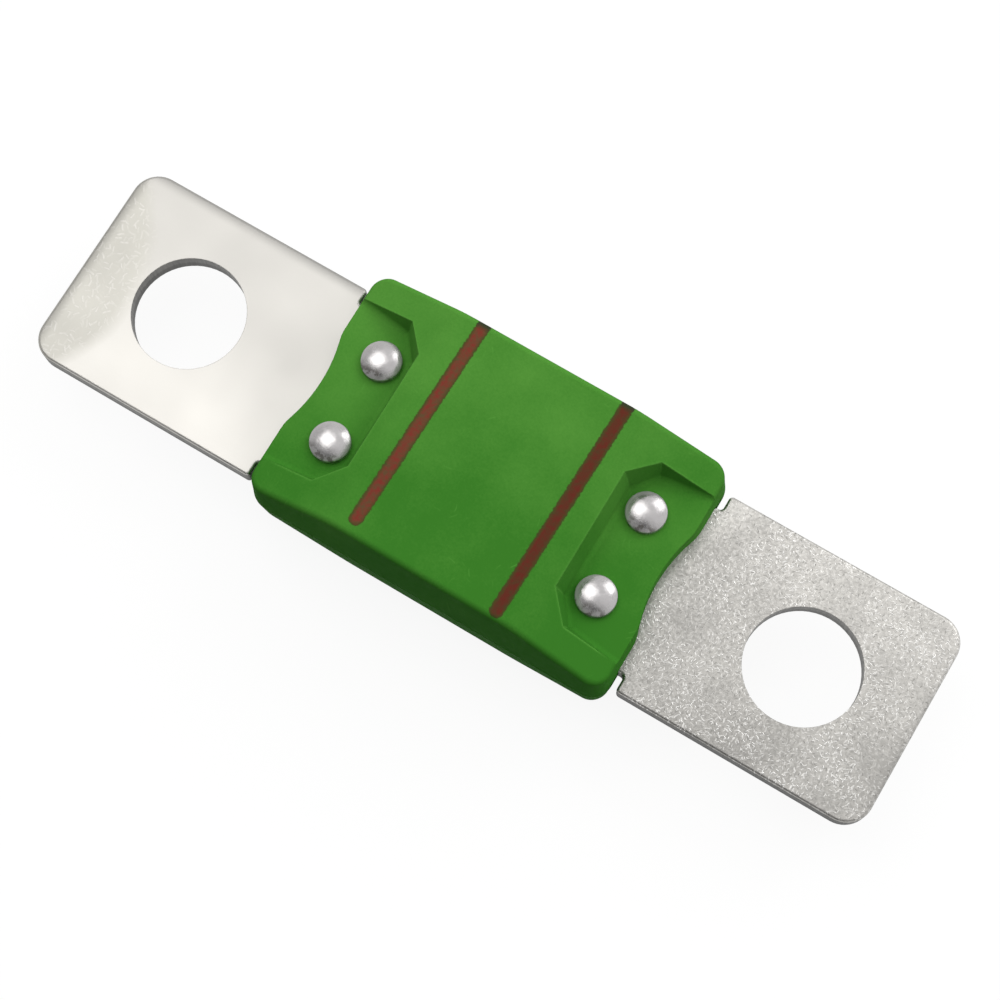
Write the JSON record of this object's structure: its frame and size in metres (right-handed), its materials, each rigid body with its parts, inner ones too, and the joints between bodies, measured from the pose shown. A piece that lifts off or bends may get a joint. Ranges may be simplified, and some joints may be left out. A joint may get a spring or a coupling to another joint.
{
  "type": "automotive fuse",
  "caption": "Bolt-down strip fuse: a flat metal link with a stud hole at each end, clamped between two ramped plastic half shells by domed rivets.",
  "frame": {"origin": "middle of the fuse, on the mid-plane of the metal strip, halfway between the two stud holes", "axes": "+X along the strip from one terminal to the other, +Y across the strip, +Z out through the upper shell, along the stud holes"},
  "size_m": [0.0686, 0.0188, 0.012],
  "materials": {
    "tinned_strip": "tin-plated sheet, softly matt",
    "green_plastic": "moulded, satin",
    "rivet_metal": "bright, softly polished"
  },
  "bodies": {
    "root": {"fuse_link": "tinned_strip", "upper_shell": "green_plastic", "lower_shell": "green_plastic", "rivets": "rivet_metal"}
  },
  "joints": []
}
